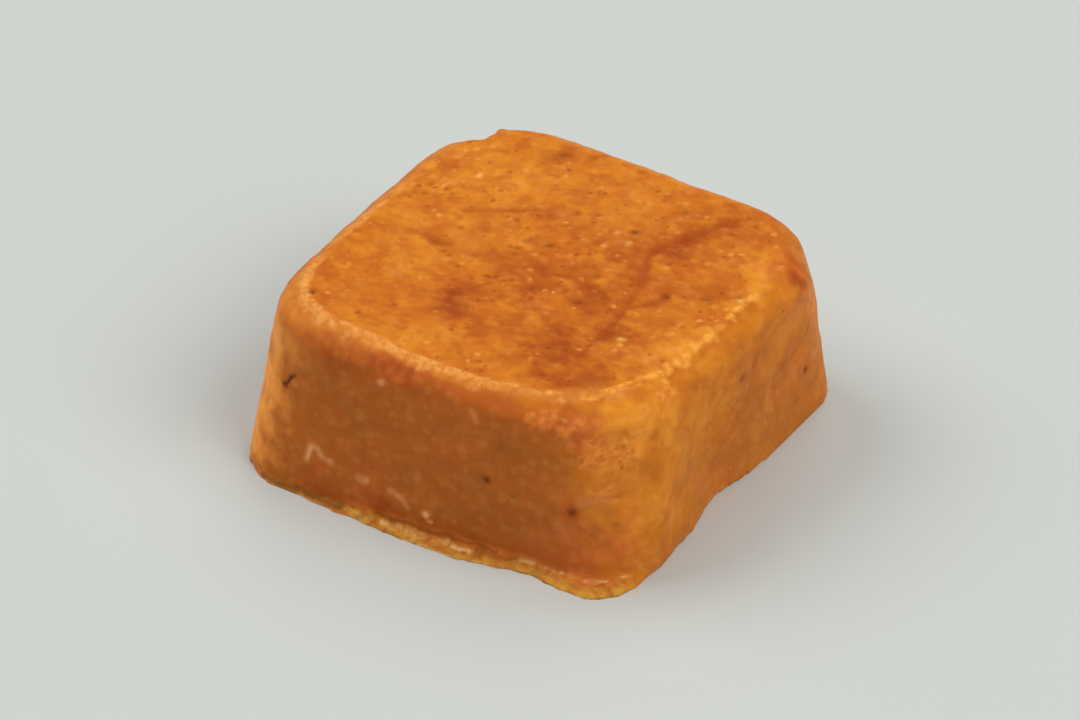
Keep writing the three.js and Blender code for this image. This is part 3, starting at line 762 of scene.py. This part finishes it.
# Boiled milk-and-sugar fudge, cast in a mould and turned out: a satin skin over a dense cloudy body that
# light gets a little way into, so edges glow and shadows stay warm. Where it has dried, it is grainy with
# sugar crystals, which are drawn coarser than they are so that they show.
fudgeLook = {
    "colours": {
        "amber": "#DA8020",
        "deepAmber": "#CC6C18",
        # painted shade: the walls in a darker, redder brown than the top; painted light: the trough's wall,
        # which its lamp lights, in an amber nearer the top's
        "shadedWallBrown": "#CA6A25",
        "litWallAmber": "#D67C1E",
        "umber": "#B46626",
        "clear": "#FFA040",
        # partly painted light on the corners
        "rosy": "#E87238",
        "peach": "#FA9A44",
        "golden": "#F09A2A",
        "toasted": "#BA581B",
        "scorched": "#A04212",
        "pitted": "#8A2E00",
        "burnt": "#581000",
        "paleAmber": "#F2A04C",
        "dryCrust": "#F4A550",
        "crest": "#FCAC42",
        "crustGap": "#D07426",
        "sugar": "#FFB474",
        "crumbs": "#FCB858",
        "flash": "#E09A3C",
        "mustard": "#DCA43C",
        "flashCrust": "#F8BE74",
        # the dark of the painted shade along the fin
        "footShade": "#74400F",
    },
    # noise by which small grain is bent out of shape, and how far; its middle value moves nothing
    "warp": {"size": 0.5, "detail": 2.0, "reach": 0.5, "middle": (0.5, 0.5, 0.5)},
    # noise that places the colours: the size of its patches along each axis and the range of values that
    # counts; some are turned with the grain, and some leave a little everywhere
    "patterns": {
        "clouds": {"size": (4.5, 4.1, 5.2), "turn": grainTurn, "detail": 3.0, "range": (0.38, 0.62)},
        "marbling": {"size": (2.2, 1.9, 2.6), "turn": grainTurn, "detail": 4.0, "range": (0.42, 0.6)},
        "smears": {"size": (1.2, 1.1, 1.5), "turn": grainTurn, "detail": 2.0, "range": (0.5, 0.66)},
        "mottle": {"size": (1.6, 1.4, 2.0), "turn": grainTurn, "detail": 4.0, "range": (0.42, 0.66)},
        "patches": {"size": (1.5, 1.5, 1.5), "detail": 5.0, "range": (0.47, 0.6)},
        "lightPatches": {"size": (2.1, 1.3, 2.1), "detail": 5.0, "range": (0.47, 0.35)},
        "blotch": {"size": (1.1, 1.1, 1.1), "detail": 4.0, "range": (0.38, 0.54), "least": 0.45},
        "crumble": {"size": (0.6, 0.6, 0.6), "detail": 2.0, "range": (0.38, 0.6), "least": 0.3},
        "gaps": {"size": (0.7, 0.7, 0.5), "detail": 2.0, "range": (0.52, 0.4)},
        "clusters": {"size": (2.6, 2.6, 2.6), "detail": 2.0, "range": (0.48, 0.6), "least": 0.15},
    },
    # scattered dots: spacing, radius as a share of it, and the share of places that hold one
    "dots": {
        "speckDots": {"spacing": 1.9, "size": 0.1, "share": 0.2},
        # pale sugar grains, partly painted glints off them
        "darkFlecks": {"spacing": 1.0, "size": 0.28, "share": 0.38},
        "paleFlecks": {"spacing": 0.8, "size": 0.42, "share": 0.3},
        "softGrains": {"spacing": 0.95, "size": 0.6, "share": 0.5},
        "paleGrains": {"spacing": 0.85, "size": 0.6, "share": 0.4},
    },
    "dotCore": 3,  # a dot is full inside its radius divided by this
    # colour, strength and what places it, from the bottom up
    "layers": [
        ("deepAmber", 0.7, ["clouds"]),
        # painted shade on the walls, and painted light on the trough's wall
        ("shadedWallBrown", 1.0, ["walls"]),
        ("litWallAmber", 1.0, ["troughSide"]),
        ("umber", 0.5, ["walls", "marbling"]),
        ("golden", 0.6, ["golden", "blotch"]),
        ("umber", 0.9, ["umber"]),
        ("toasted", 0.75, ["toast"]),
        ("toasted", 0.5, ["topSkin", "patches"]),
        ("golden", 0.35, ["topSkin", "lightPatches"]),
        ("toasted", 0.25, ["mottle"]),
        ("golden", 0.8, ["golden", "blotch"]),
        # the clearer corners, partly painted light that they catch and let through
        ("clear", 1.0, ["clear"]),
        # painted shade under the dry edge
        ("toasted", 0.6, ["edgeShade"]),
        ("rosy", 0.8, ["rosy"]),
        ("toasted", 0.2, ["softGrains"]),
        ("paleAmber", 0.16, ["paleGrains"]),
        ("paleAmber", 0.12, ["walls", "smears"]),
        ("peach", 0.9, ["streaky", "crumble"]),
        ("toasted", 0.6, ["streaky", "gaps"]),
        ("scorched", 0.8, ["scorch", "blotch"]),
        ("scorched", 0.6, ["topSkin", "darkFlecks"]),
        # pale flecks on the top: sugar grains, partly painted glints
        ("paleAmber", 0.65, ["topSkin", "paleFlecks", "clusters"]),
        ("crustGap", 0.6, ["crust"]),
        ("dryCrust", 0.95, ["crust", "crumble"]),
        ("toasted", 0.3, ["crust", "darkFlecks"]),
        ("crest", 0.95, ["crest", "crumble"]),
        ("crumbs", 0.4, ["crust", "paleFlecks"]),
        # dark lines in the skin, and painted shade in the crease
        ("scorched", 0.7, ["lines"]),
        ("flash", 0.5, ["fin", "crumble"]),
        ("mustard", 0.9, ["mustard", "crumble"]),
        ("footShade", 0.3, ["fin", "gaps"]),
        ("flashCrust", 1.0, ["flashCrust", "crumble"]),
        # painted shade along the fin
        ("footShade", 0.9, ["footShade"]),
        ("paleAmber", 0.45, ["granules"]),
        ("pitted", 0.7, ["pits"]),
        ("sugar", 1.0, ["rubbed"]),
        # pale sugar bits, the strongest on the top partly painted glints
        ("crumbs", 0.9, ["crumbs"]),
        ("scorched", 0.6, ["speckDots"]),
        # burnt specks, and painted shade in the crack
        ("burnt", 0.95, ["burnt"]),
    ],
    "roughness": (0.4, 0.6),  # where the skin is satin, and where it is dull or dry
    "dullPatches": {"size": 1.6, "detail": 3.0},
    "bump": {"size": 0.4, "detail": 3.0, "depth": 0.03},  # finer than the mesh
    "ior": 1.46,  # sugar syrup and milk fat
    "shine": 0.08,
    "glowWeight": 0.25,  # light that goes in and comes out again, how deep, and how its colours spread
    "glowDepth": 0.9,
    "glowTint": (1.0, 0.4, 0.12),
}


def makeFudgeMaterial(masks):
    look = fudgeLook
    material = bpy.data.materials.new("castFudge")
    material.use_nodes = True
    tree = material.node_tree
    tree.nodes.clear()
    place = addNode(tree, "ShaderNodeTexCoord", "Object")
    mm = addNode(tree, "ShaderNodeVectorMath", "Vector", {
        "Vector": place, "Scale": mmPerMetre,
    }, operation="SCALE")

    # what places the colours: the marks, the patterns of noise and the dots
    shares = {}
    for name in masks:
        shares[name] = addNode(tree, "ShaderNodeAttribute", "Fac", attribute_name=name)
    for name, pattern in look["patterns"].items():
        turned = addNode(tree, "ShaderNodeMapping", "Vector", {
            "Vector": mm,
            "Scale": pattern["size"],
            "Rotation": (math.radians(pattern.get("turn", 0)), 0, 0),
        }, vector_type="TEXTURE")
        clouds = addNode(tree, "ShaderNodeTexNoise", "Fac", {
            "Vector": turned, "Scale": 1.0, "Detail": pattern["detail"],
        })
        low, high = pattern["range"]
        shares[name] = addNode(tree, "ShaderNodeMapRange", "Result", {
            "Value": clouds, "From Min": low, "From Max": high, "To Min": pattern.get("least", 0.0),
        })
    warp = look["warp"]
    ripple = addNode(tree, "ShaderNodeTexNoise", "Color", {
        "Vector": mm, "Scale": 1 / warp["size"], "Detail": warp["detail"],
    })
    centred = addNode(tree, "ShaderNodeVectorMath", "Vector", {
        "Vector": ripple, "Vector_001": warp["middle"],
    }, operation="SUBTRACT")
    shift = addNode(tree, "ShaderNodeVectorMath", "Vector", {
        "Vector": centred, "Scale": warp["reach"],
    }, operation="SCALE")
    bent = addNode(tree, "ShaderNodeVectorMath", "Vector", {
        "Vector": mm, "Vector_001": shift,
    }, operation="ADD")
    grain = addNode(tree, "ShaderNodeMapping", "Vector", {
        "Vector": bent, "Scale": grainShape, "Rotation": (math.radians(grainTurn), 0, 0),
    }, vector_type="TEXTURE")
    for name, dots in look["dots"].items():
        cells = addNode(tree, "ShaderNodeTexVoronoi", None, {
            "Vector": grain, "Scale": 1 / dots["spacing"],
        })
        near = addNode(tree, "ShaderNodeMapRange", "Result", {
            "Value": cells.outputs["Distance"],
            "From Min": dots["size"],
            "From Max": dots["size"] / look["dotCore"],
        })
        draw = addNode(tree, "ShaderNodeSeparateColor", "Red", {"Color": cells.outputs["Color"]})
        chosen = addNode(tree, "ShaderNodeMath", "Value", {
            "Value": draw, "Value_001": dots["share"],
        }, operation="LESS_THAN")
        shares[name] = addNode(tree, "ShaderNodeMath", "Value", {
            "Value": near, "Value_001": chosen,
        }, operation="MULTIPLY")

    colour = hexColour(look["colours"]["amber"])
    for name, strength, places in look["layers"]:
        share = strength
        for where in places:
            share = addNode(tree, "ShaderNodeMath", "Value", {
                "Value": share, "Value_001": shares[where],
            }, operation="MULTIPLY")
        colour = addNode(tree, "ShaderNodeMix", "Result_Color", {
            "Factor_Float": share, "A_Color": colour, "B_Color": hexColour(look["colours"][name]),
        }, data_type="RGBA")

    satin, dull = look["roughness"]
    patches = look["dullPatches"]
    patchy = addNode(tree, "ShaderNodeTexNoise", "Fac", {
        "Vector": mm, "Scale": 1 / patches["size"], "Detail": patches["detail"],
    })
    dullness = addNode(tree, "ShaderNodeMath", "Value", {
        "Value": patchy, "Value_001": shares["crust"],
    }, operation="MAXIMUM")
    roughness = addNode(tree, "ShaderNodeMapRange", "Result", {
        "Value": dullness, "To Min": satin, "To Max": dull,
    })
    bump = look["bump"]
    bumps = addNode(tree, "ShaderNodeTexNoise", "Fac", {
        "Vector": grain, "Scale": 1 / bump["size"], "Detail": bump["detail"],
    })
    normal = addNode(tree, "ShaderNodeBump", "Normal", {
        "Height": bumps, "Distance": bump["depth"] * perMm,
    })
    body = addNode(tree, "ShaderNodeBsdfPrincipled", "BSDF", {
        "Base Color": colour,
        "Roughness": roughness,
        "Normal": normal,
        "IOR": look["ior"],
        "Specular IOR Level": look["shine"],
        "Subsurface Weight": look["glowWeight"],
        "Subsurface Scale": look["glowDepth"] * perMm,
        "Subsurface Radius": look["glowTint"],
    })
    addNode(tree, "ShaderNodeOutputMaterial", None, {"Surface": body})
    return material


# The floor is flat for that many millimetres round the block. Farther out it curves up, so that no edge of
# it shows in low views.
studio = {
    "floorSize": 3400,
    "floorCells": 68,
    "floorFlat": 1000,
    "floorRise": 0.1,  # metres up, a metre beyond the flat; it grows with the square
    "floorColour": "#CCD0CB",
    "floorRoughness": 0.6,
    "airColour": "#E6EAEC",
    "airStrength": 0.27,
}

# Big soft lamps: azimuth 0 is out of the fin's wall and 90 out of the trough's wall. All in degrees.
softLamps = [
    {"name": "keyLamp", "azimuth": 280, "elevation": 46, "spread": 45, "strength": 1.4},
    {"name": "fillLamp", "azimuth": 88, "elevation": 48, "spread": 45, "strength": 1.6},
    {"name": "backLamp", "azimuth": 190, "elevation": 52, "spread": 40, "strength": 0.5},
]

# The camera looks at the front corner from above, in the same degrees; the rest is in millimetres.
viewpoint = {
    "azimuth": 30.229,
    "elevation": 35.245,
    "roll": 1.205,
    "distance": 814.0,
    "aimHeight": 6.0,
    "lens": 350.4,
    "sensor": 36.0,
}


def directionFrom(azimuth, elevation):
    a, e = math.radians(azimuth), math.radians(elevation)
    return Vector((math.sin(a) * math.cos(e), -math.cos(a) * math.cos(e), math.sin(e)))


def makeFloor():
    mesh = bpy.data.meshes.new("floor")
    bm = bmesh.new()
    cells = studio["floorCells"]
    bmesh.ops.create_grid(bm, x_segments=cells, y_segments=cells, size=studio["floorSize"] / 2 * perMm)
    for vert in bm.verts:
        beyond = max(0.0, vert.co.length - studio["floorFlat"] * perMm)
        vert.co.z = studio["floorRise"] * beyond ** 2
    bm.to_mesh(mesh)
    bm.free()
    mesh.shade_smooth()
    floor = bpy.data.objects.new("floor", mesh)
    bpy.context.scene.collection.objects.link(floor)
    material = bpy.data.materials.new("glazedStoneware")
    material.use_nodes = True
    shader = material.node_tree.nodes["Principled BSDF"]
    shader.inputs["Base Color"].default_value = hexColour(studio["floorColour"])
    shader.inputs["Roughness"].default_value = studio["floorRoughness"]
    mesh.materials.append(material)
    return floor


def makeLights():
    for setup in softLamps:
        light = bpy.data.lights.new(setup["name"], "SUN")
        light.angle = math.radians(setup["spread"])
        light.energy = setup["strength"]
        lamp = bpy.data.objects.new(setup["name"], light)
        away = directionFrom(setup["azimuth"], setup["elevation"])
        lamp.location = away
        lamp.rotation_euler = away.to_track_quat("Z", "Y").to_euler()
        bpy.context.scene.collection.objects.link(lamp)
    world = bpy.data.worlds.new("studioAir")
    world.use_nodes = True
    background = world.node_tree.nodes["Background"]
    background.inputs["Color"].default_value = hexColour(studio["airColour"])
    background.inputs["Strength"].default_value = studio["airStrength"]
    bpy.context.scene.world = world


def makeCamera():
    camera = bpy.data.objects.new("camera", bpy.data.cameras.new("camera"))
    camera.data.sensor_width = viewpoint["sensor"]
    camera.data.lens = viewpoint["lens"]
    away = directionFrom(viewpoint["azimuth"], viewpoint["elevation"])
    aim = Vector((0, 0, viewpoint["aimHeight"] * perMm))
    camera.location = aim + away * viewpoint["distance"] * perMm
    camera.rotation_mode = "QUATERNION"
    tilt = Quaternion(away, math.radians(viewpoint["roll"]))
    camera.rotation_quaternion = tilt @ (-away).to_track_quat("-Z", "Y")
    bpy.context.scene.collection.objects.link(camera)
    bpy.context.scene.camera = camera


block, blockMasks = makeFudgeBlock()
block.data.materials.append(makeFudgeMaterial(blockMasks))
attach(block, "root")
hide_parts("fudge_block")
print("fudge block finished")

floor = makeFloor()
makeLights()
makeCamera()
bpy.context.scene.view_settings.view_transform = "Standard"
print("floor, light and camera set")
